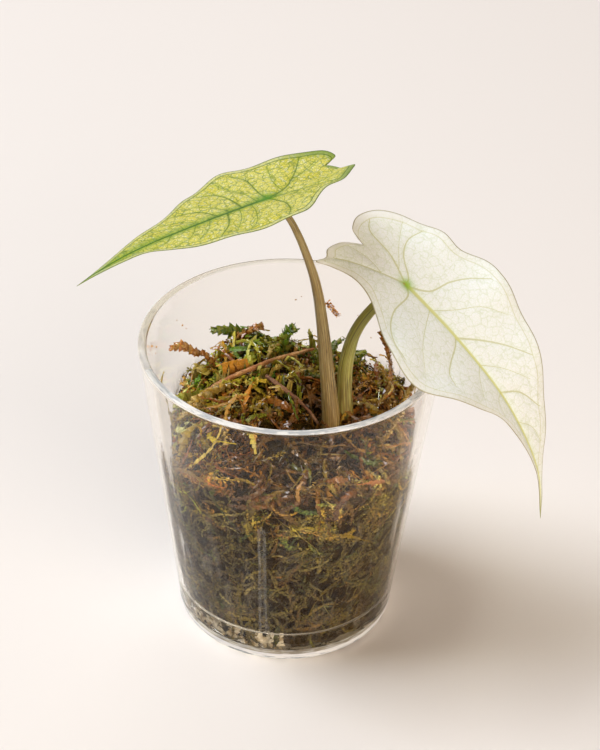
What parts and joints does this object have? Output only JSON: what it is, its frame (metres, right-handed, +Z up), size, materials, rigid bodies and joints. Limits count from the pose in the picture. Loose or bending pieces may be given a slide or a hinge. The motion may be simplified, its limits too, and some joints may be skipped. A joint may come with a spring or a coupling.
{
  "type": "potted alocasia",
  "caption": "Young variegated alocasia with arrow-shaped leaves on bare stalks, rooted in damp moss in a clear tapered tumbler.",
  "frame": {"origin": "middle of the tumbler's flat underside, on the surface it stands on", "axes": "+Z up along the tumbler's axis, +Y away from the usual viewer, +X to the viewer's right"},
  "size_m": [0.1182, 0.08, 0.1384],
  "materials": {
    "clear_plastic": "clear glossy polystyrene",
    "moss": "damp, matte, golden to olive sphagnum",
    "corm": "matte fibrous",
    "stalk_brown": "satin, striped lengthways",
    "stalk_olive": "satin, faintly striped",
    "blade_yellow": "satin leaf, green veins",
    "blade_cream": "satin leaf, pale green veins",
    "dry_stalk": "dry, matte"
  },
  "bodies": {
    "root": {"cup": "clear_plastic", "moss": "moss", "corm": "corm", "stem_left": "stalk_brown", "stem_right": "stalk_olive", "leaf_left": "blade_yellow", "leaf_right": "blade_cream", "twig_long": "dry_stalk", "twig_thin": "dry_stalk", "moss_scrap": "moss"}
  },
  "joints": []
}
